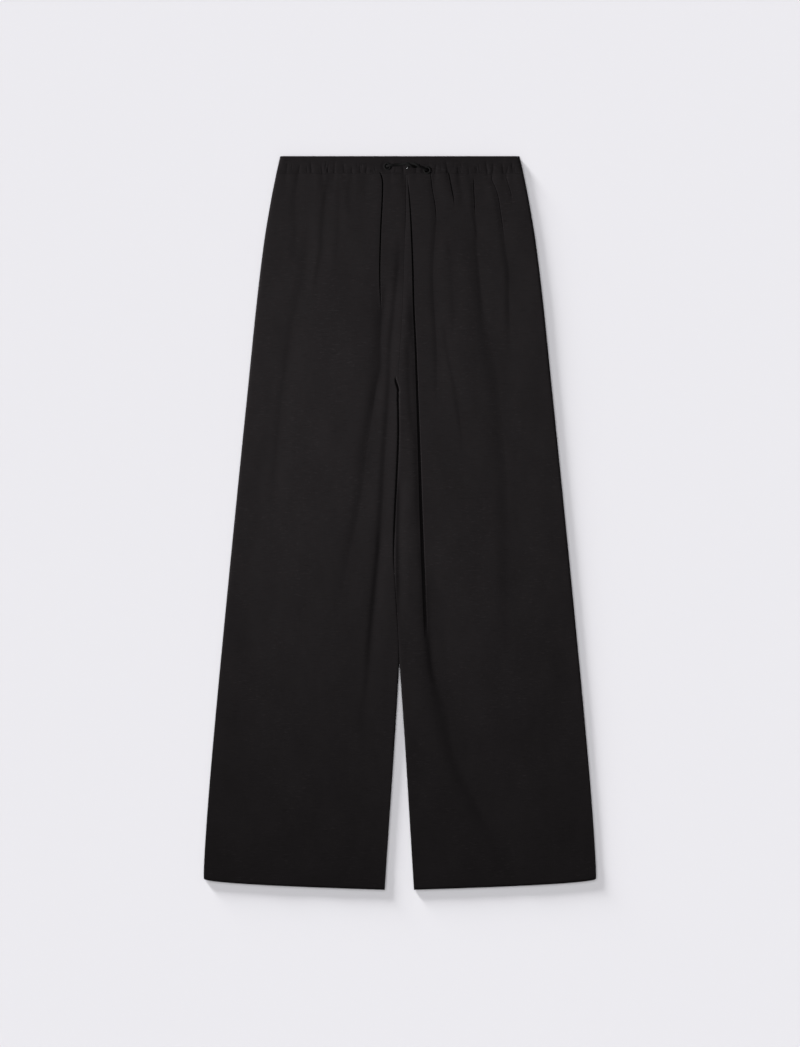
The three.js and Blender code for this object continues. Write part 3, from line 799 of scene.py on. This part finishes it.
def even_rows(start, end, step):
    return np.linspace(start, end, int((end - start) / step) + 1)


def hem_lift(share, down):
    left = np.sqrt(np.maximum(0, 1 - share))
    return HEM_RISE * (1 - left) * smoothstep(LENGTH - HEM_RAMP, LENGTH, down)


def shown_between(down, rise, fall):
    """0, then 1 from the end of the rise to the start of the fall, then 0."""
    return smoothstep(*rise, down) * (1 - smoothstep(*fall, down))


def shown_along(down, start, end, lead, tail=None):
    tail = CREASE_TAIL * (end - start) if tail is None else tail
    return shown_between(down, (start, start + lead), (end - tail, end))


def trough(distance, down, start, end, depth, reach, right=None):
    width = reach if right is None else np.where(distance > 0, right, reach)
    lead = max(CREASE_LEAD, SOFT_LEAD * (end - start))
    return depth * shown_along(down, start, end, lead) * bell(distance, width)


def slot(distance, down, start, end, depth, lead=SLOT_LEAD, tail=None, **widths):
    half = slot_half(down, start, end, **widths)
    walls = 1 - smoothstep(SLOT_FLOOR, 1, np.abs(distance) / half)
    return depth * shown_along(down, start, end, lead, tail) * walls


def crease_depth(crease, x, down):
    distance = x - curve_through(crease["path"], down)
    depth = trough(distance, down, crease["start"], crease["end"], crease["depth"],
                   crease["reach"], crease.get("right"))
    if "soft" in crease:
        depth = np.maximum(depth, trough(distance, down, **crease["soft"]))
    if "slot" in crease:
        depth = depth + slot(distance, down, **crease["slot"])
    return depth


def back_top(side, across, down):
    """The upper side of the back's solid: flat, and raised to the seams at its edges."""
    width = panel_width(side, down)
    at_side = 1 - rolled(width - across, BACK_ROLL)
    at_inseam = (1 - rolled(across, BACK_ROLL)) * inseam_share(down)
    lift = SEAM_HEIGHT - SEAM_GAP / 2 - WALL
    return WALL + lift * np.maximum(at_side, at_inseam)


def edge_closeness(side, across, down):
    """1 at a side seam or inseam, 0 away from it."""
    width = panel_width(side, down)
    at_side = 1 - smoothstep(0, EDGE_BLEND, width - across)
    at_inseam = (1 - smoothstep(0, EDGE_BLEND, across)) * inseam_share(down)
    return np.maximum(at_side, at_inseam)


def gather_ripples(x, down):
    """The band's gathers run on into the panels and fade."""
    depth = np.zeros_like(x)
    below = down - BAND_DEPTH
    for gather, lean, strength in GATHERS:
        fall = RIPPLE_FALL + RIPPLE_MORE_FALL * abs(math.sin(gather * RIPPLE_UNEVENNESS))
        middle = gather + lean * 0.5 + below * lean * RIPPLE_LEAN
        fade = 1 - smoothstep(BAND_DEPTH, BAND_DEPTH + fall, down)
        form = bell(x - middle, RIPPLE_REACH + below * RIPPLE_SPREAD)
        depth += RIPPLE_DEPTH * strength * fade * form
    return depth


def parting(down):
    """How far the legs' inner edges roll apart: little where they lie close together."""
    return 1 - TOUCH_SHARE * shown_between(down, *TOUCH_ALONG)


def hem_share(down):
    """0 on the leg, 1 where its hem is turned up."""
    return smoothstep(LENGTH - HEM_DEPTH - HEM_LEAD, LENGTH - HEM_DEPTH + 1, down)


def wavy(x, y, depth, *kind):
    """Waves of a depth, and of a kind that waves() takes."""
    return depth * waves(x, y, *kind)


def front_top(side, across, down):
    """The front's outer face: lofted, with its creases, and rolled down to the seams."""
    x = inner_edge(side, down) + side * across
    width = panel_width(side, down)
    in_slot = 1 - smoothstep(SPLIT_FLOOR * SEAM_SLOT, SEAM_SLOT, across)
    split = 1 - shown_between(down, *SPLIT_ALONG) * in_slot
    rise = np.minimum(rolled(width - across, SIDE_ROLL),
                      1 - (1 - rolled(across, SIDE_ROLL)) * inseam_share(down) * parting(down))
    rise = np.minimum(rise, split)
    seam = SEAM_HEIGHT + SEAM_GAP / 2
    groove = sum(depth * bell(across, reach) for depth, reach in SEAM_FORMS)
    depth = sum(crease_depth(crease, x, down) for crease in CREASES[side] + SMALL_CREASES[side])
    depth = depth + gather_ripples(x, down) + groove * (1 - inseam_share(down))
    height = seam + (curve_through(LOFT, down) - seam - depth) * rise
    height = height - SPLIT_DEPTH * (1 - split)
    height = height + sum(wavy(x, y_of(down), *kind) for kind in FRONT_WAVES) * rise
    floor = back_top(side, across, down) - 2 * (WALL - SHELL) + LAYER_SPACE
    height = floor + np.logaddexp(0, (height - floor) * LAYER_SHARPNESS) / LAYER_SHARPNESS
    return height + WALL


def panel_grid(side, rows, across):
    """The panel's points across, down and in X, with the hem's edge curved up at the sides."""
    share = across / panel_width(side, rows[:, None])
    down = rows[:, None] - hem_lift(share, rows[:, None])
    across = share * panel_width(side, down)
    return across, down, inner_edge(side, down) + side * across


def panel(side, name, node, x, down, top, bottom):
    """Makes and dresses a leg panel, its columns in the order of X."""
    if side < 0:
        x, down, top, bottom = (grid[:, ::-1] for grid in (x, down, top, bottom))
    return dress(slab(name, x, y_of(down), top, bottom, CLOTH), "cloth", node)


def front_panel(side, name, node):
    rows = np.concatenate([even_rows(*span)[:-1] for span in ROW_SPANS] + [[LENGTH]])
    across, down, x = panel_grid(side, rows, fine_columns(guide_columns(side, rows)))
    hem = hem_share(rows)[:, None]
    hem_end = smoothstep(LENGTH - HEM_EDGE, LENGTH, rows)[:, None]
    top = front_top(side, across, down) + HEM_RIDGE * (hem - hem_end)
    tuck = 1 - smoothstep(PANEL_TOP, BAND_DEPTH + TURNED_EDGE, down)
    top = top - (TUCK_DEPTH + wavy(x, 0 * x, *TUCK_UNEVENNESS)) * tuck
    thick = SHELL + (HEM_SHELL - SHELL) * hem
    close = edge_closeness(side, across, down)
    bottom = (top - thick) * (1 - close) + (SEAM_HEIGHT + EDGE_GAP) * close
    return panel(side, name, node, x, down, top, bottom)


def back_panel(side, name, node):
    rows = even_rows(BACK_TOP, LENGTH, BACK_ROW_STEP)
    width = panel_width(side, rows)
    inner = BACK_INSETS[-1]
    columns = [np.full_like(rows, inset) for inset in BACK_INSETS]
    columns += [inner + (width - 2 * inner) * part / BACK_COLUMNS
                for part in range(1, BACK_COLUMNS)]
    columns += [width - inset for inset in reversed(BACK_INSETS)]
    across, down, x = panel_grid(side, rows, np.stack(columns, -1))
    seam_share = 1 - smoothstep(GAP_START - BACK_SEAM_END, GAP_START, down)
    x = x + BACK_SEAM_SHIFT * seam_share * bell(across, BACK_SEAM_REACH)
    close = edge_closeness(side, across, down)
    seam = BACK_SEAM_HEIGHT * bell(across, BACK_SEAM_WIDTH) * (1 - inseam_share(down))
    creases = sum(crease_depth(crease, x, down) for crease in BACK_CREASES[side])
    creases = creases + BACK_RIPPLES * gather_ripples(x, down)
    bottom = back_top(side, across, down) - WALL + seam + creases * (1 - close)
    thick = SHELL + BACK_HEM * hem_share(rows)[:, None]
    top = (bottom + thick) * (1 - close) + (SEAM_HEIGHT - EDGE_GAP) * close
    return panel(side, name, node, x, down, top, bottom)


PANELS = {
    "front_right": front_panel(-1, "front_wearers_right", "front_right"),
    "front_left": front_panel(1, "front_wearers_left", "front_left"),
    "back_right": back_panel(-1, "back_wearers_right", "back_right"),
    "back_left": back_panel(1, "back_wearers_left", "back_left"),
}


# ---- waistband ----

BAND_COLUMN_STEP = 0.7
BAND_ROW_STEP = 1.0
BAND_EDGE_ROWS = [0, 0.25, 0.6, 1.1]
BAND_FIRST_ROW = 1.7
GATHER_START = (6, 14)      # how far below the top edge a gather starts, at random
GATHER_LEAD = 6
GATHER_START_SHARE = 0.1    # of its depth, above its start
GATHER_FORMS = ((0.3, GATHER_REACH), (0.2, 0.9))  # share of its depth, reach
FINE_GATHERS = 46           # with these ranges, from which each takes its own sizes
FINE_PLACE = 165
FINE_LEAN = 0.25
FINE_CENTRE = (12, 25)
FINE_SPAN = (2, 6)
FINE_DEPTH = (0.1, 0.45)
FINE_REACH = (0.7, 1.4)
BAND_EVEN_EDGE = 7          # the top edge stays even over this depth
BAND_WAVES = (0.25, 8, 9, 30, 2.5)
BAND_SLOPE = 1.2            # how much the band falls towards its seam
BAND_SLOPE_START = 13
BAND_CREASE_LIMIT = 2.2     # the panels' creases run up into the band no deeper
BAND_TOP_EDGE = (1.2, 0.1, 1.5)  # drop, start and width of the front half's rounded top edge
BAND_UNDER_EDGE = (0.8, 0, 1.2)  # and of the edges of its underside, which rise
BACK_EDGE = (0.15, 1.6)     # start and width of the back half's rounded edges
BACK_EDGE_RISE = 0.8        # of its underside at them
BACK_EDGE_DROP = 0.5        # of its upper side
BACK_GATHERS = (0.25, 8, 6, 14, 4.0)
BAND_LEAST = 0.6            # least thickness of the front half
BAND_UNDERSIDE = BAND_LAYER + 0.6 * SEAM_GAP
HOLE_SIDES = 40
HOLE_CUT = 20               # length of the cutter, whose middle is at the height below
HOLE_HEIGHT = 5


def calm_near_eyelets(x, down):
    """0 on an eyelet's ring, 1 where the casing puckers freely."""
    calm = 1.0
    for eyelet_x, eyelet_down in EYELETS.values():
        distance = np.hypot(x - eyelet_x, down - eyelet_down)
        calm = np.minimum(calm, smoothstep(EYELET_RING / 2, PUCKER_CALM, distance))
    return calm


def band_grid():
    rows = np.append(BAND_EDGE_ROWS, even_rows(BAND_FIRST_ROW, BAND_DEPTH, BAND_ROW_STEP))
    count = int(2 * half_width(BAND_DEPTH) / BAND_COLUMN_STEP)
    share = np.linspace(-1, 1, count)[None]
    return share * half_width(rows)[:, None], np.broadcast_to(rows[:, None], (len(rows), count))


def to_edge(down):
    """The distance to the band's nearer long edge."""
    return np.minimum(down, BAND_DEPTH - down)


def rounded(distance, drop, start, width):
    """How far an edge is rounded off, at a distance from it."""
    return drop * (1 - rolled(distance + start, width))


def band_grooves(x, down):
    """The casing's gathers on its elastic, and fine ones at random places between them."""
    grooves = np.zeros_like(x)
    for gather, lean, depth in GATHERS:
        middle = gather + lean * (down / BAND_DEPTH - 0.5)
        start = RNG.uniform(*GATHER_START)
        along = smoothstep(start, start + GATHER_LEAD, down)
        shown = GATHER_START_SHARE + (1 - GATHER_START_SHARE) * along
        form = sum(share * bell(x - middle, reach) for share, reach in GATHER_FORMS)
        grooves += depth * shown * form
    for _ in range(FINE_GATHERS):
        place = RNG.uniform(-FINE_PLACE, FINE_PLACE)
        middle = place + RNG.uniform(-FINE_LEAN, FINE_LEAN) * (down - BAND_DEPTH / 2)
        centre = RNG.uniform(*FINE_CENTRE)
        span = RNG.uniform(*FINE_SPAN)
        depth = RNG.uniform(*FINE_DEPTH)
        reach = RNG.uniform(*FINE_REACH)
        grooves += depth * bell(x - middle, reach) * bell(down - centre, span)
    return grooves


def front_band():
    x, down = band_grid()
    at_side = rolled(half_width(down) - np.abs(x), BAND_ROLL)
    even_edge = smoothstep(0, BAND_EVEN_EDGE, down)
    swell = (GATHER_SWELL - band_grooves(x, down) * even_edge) * calm_near_eyelets(x, down)
    soft = wavy(x, y_of(down), *BAND_WAVES) * even_edge
    soft = soft - BAND_SLOPE * smoothstep(BAND_SLOPE_START, BAND_DEPTH, down)
    for side in (-1, 1):
        creases = sum(crease_depth(crease, x, down) for crease in CREASES[side])
        own_half = side * (x - inner_edge(side, down)) > 0
        soft = soft - np.minimum(creases, BAND_CREASE_LIMIT) * own_half
    top = BAND_FACE + (swell + soft) * at_side - BAND_EDGE_DROP * (1 - at_side)
    top = top - rounded(down, *BAND_TOP_EDGE)
    bottom = BAND_UNDERSIDE + rounded(to_edge(down), *BAND_UNDER_EDGE)
    top = np.maximum(top, bottom + BAND_LEAST)
    return slab("band_front", x, y_of(down), top, bottom, BAND_CLOTH_PAINTED_SHADE)


def back_band():
    x, down = band_grid()
    at_side = rolled(half_width(down) - np.abs(x), BAND_ROLL)
    edge = rounded(to_edge(down), 1, *BACK_EDGE)
    gather = np.abs(wavy(x, y_of(down), *BACK_GATHERS)) * at_side
    bottom = BAND_EDGE_DROP * (1 - at_side) + BACK_EDGE_RISE * edge + gather * (1 - edge)
    top = BAND_LAYER - BACK_EDGE_DROP * edge
    return slab("band_back", x, y_of(down), top, bottom, BAND_CLOTH_PAINTED_SHADE)


def open_casing(band):
    """The casing is open under each eyelet."""
    for eyelet_x, eyelet_down in EYELETS.values():
        bpy.ops.mesh.primitive_cylinder_add(
            vertices=HOLE_SIDES, radius=EYELET_HOLE / 2 * MM, depth=HOLE_CUT * MM,
            location=(eyelet_x * MM, y_of(eyelet_down) * MM, HOLE_HEIGHT * MM))
        cutter = bpy.context.object
        cut = band.modifiers.new("hole", "BOOLEAN")
        cut.operation = "DIFFERENCE"
        cut.object = cutter
        bpy.context.view_layer.objects.active = band
        bpy.ops.object.modifier_apply(modifier=cut.name)
        bpy.data.objects.remove(cutter, do_unlink=True)


BAND_FRONT = front_band()
open_casing(BAND_FRONT)
dress(BAND_FRONT, "waistband_cloth", "waistband_front")
BAND_BACK = dress(back_band(), "waistband_cloth", "waistband_back")


# ---- eyelets ----

STITCHES = 30
STITCH_POINTS = 8
STITCH_DIP = 0.18
RING_HEIGHT = 0.8
RING_LIFT = 0.1


def stitch_height(angle):
    return 1 - STITCH_DIP + STITCH_DIP * np.abs(np.cos(angle * STITCHES / 2))


def stitched_eyelet(side, place):
    hole, ring = EYELET_HOLE / 2, EYELET_RING / 2
    middle, thick = (hole + ring) / 2, (ring - hole) / 2
    profile = [(middle - thick * math.cos(a), RING_LIFT + RING_HEIGHT * math.sin(a))
               for a in np.linspace(-0.2, math.pi + 0.2, 13)]
    profile.append(profile[0])
    sides = STITCHES * STITCH_POINTS
    eyelet = lathe(f"eyelet_stitched_{side}", profile, THREAD, sides, stitch_height)
    x, down = place
    shift(eyelet, (x, y_of(down), BAND_FACE + RING_LIFT))
    return dress(eyelet, "thread", f"eyelet_{side}")


for side_name, eyelet_place in EYELETS.items():
    stitched_eyelet(side_name, eyelet_place)

# ---- floor and light ----

FLOOR_SIZE = 16.0
FLOOR_DROP = 0.2     # millimetres below the frame's zero
FLOOR_COLOUR = (0.79, 0.782, 0.813, 1)
FLECK_SHADE = 0.997


def make_floor():
    n = Nodes("floor")
    fleck = n.noise((3, 3, 3), 2, 0.5)
    darker = tuple(c * FLECK_SHADE for c in FLOOR_COLOUR[:3]) + (1,)
    colour = n.mixed(fleck, FLOOR_COLOUR, darker)
    n.set(Base_Color=colour, Roughness=1.0, Specular_IOR_Level=0.0)
    half = FLOOR_SIZE / 2 / MM
    corners = [(-half, -half), (half, -half), (half, half), (-half, half)]
    corners = [(x, y, -FLOOR_DROP) for x, y in corners]
    floor = make_object("floor", corners, [(0, 1, 2, 3)], n.material, smooth=False)
    floor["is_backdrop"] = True
    return floor


def make_sun(name, strength, azimuth, elevation, softness):
    """A distant light from that side of the garment: azimuth 0 is +X, 90 is +Y."""
    data = bpy.data.lights.new(name, "SUN")
    data.energy = strength
    data.angle = math.radians(softness)
    light = bpy.data.objects.new(name, data)
    a, e = math.radians(azimuth), math.radians(elevation)
    towards = Vector((math.cos(a) * math.cos(e), math.sin(a) * math.cos(e), math.sin(e)))
    light.rotation_mode = "QUATERNION"
    light.rotation_quaternion = towards.to_track_quat("Z", "Y")
    bpy.context.collection.objects.link(light)
    return light


def collected(name, pieces):
    group = bpy.data.collections.new(name)
    for piece in pieces:
        group.objects.link(piece)
    return group


def only_on(light, *receivers):
    linking = light.light_linking
    linking.receiver_collection = collected(light.name + "_receivers", receivers)


def shaded_by(light, *blockers):
    linking = light.light_linking
    linking.blocker_collection = collected(light.name + "_blockers", blockers)


def make_world(level):
    world = bpy.data.worlds.new("studio")
    world.use_nodes = True
    background = world.node_tree.nodes["Background"]
    background.inputs["Color"].default_value = (0.985, 0.98, 1.0, 1)
    background.inputs["Strength"].default_value = level
    bpy.context.scene.world = world


def make_softbox(name, power, size, place, target, spread):
    data = bpy.data.lights.new(name, "AREA")
    data.energy = power
    data.size = size
    data.spread = math.radians(spread)
    light = bpy.data.objects.new(name, data)
    light.location = place
    light.rotation_mode = "QUATERNION"
    light.rotation_quaternion = (Vector(place) - Vector(target)).to_track_quat("Z", "Y")
    bpy.context.collection.objects.link(light)
    return light


bpy.context.scene.view_settings.view_transform = "Standard"
FLOOR = make_floor()
GARMENT = [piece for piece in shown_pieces() if piece.type == "MESH"]
make_world(0.2)
make_sun("key", 0.29, 135, 55, 40)
LOW = make_sun("low", 8.6, 127, 7.7, 13)
OVERHEAD = make_sun("overhead", 1.36, 135, 80, 60)
RAKE = make_sun("rake", 0.7, 160, 20, 18)
POOL = make_softbox("pool", 5.9, 0.6, (-2.06, 0.2, 0.98), (0.1, 0.23, 0), 49)
only_on(LOW, FLOOR)
only_on(OVERHEAD, FLOOR, *[piece for piece in GARMENT if "metal" in piece.name])
only_on(RAKE, *GARMENT)
# The drawstring casts no shadow under the rake and the pool; painted shade in the cord's colour
# stands in for it.
CLOTH_PIECES = [piece for piece in GARMENT if "drawstring" not in piece.name]
shaded_by(RAKE, *CLOTH_PIECES)
shaded_by(POOL, *CLOTH_PIECES)
only_on(POOL, *GARMENT)
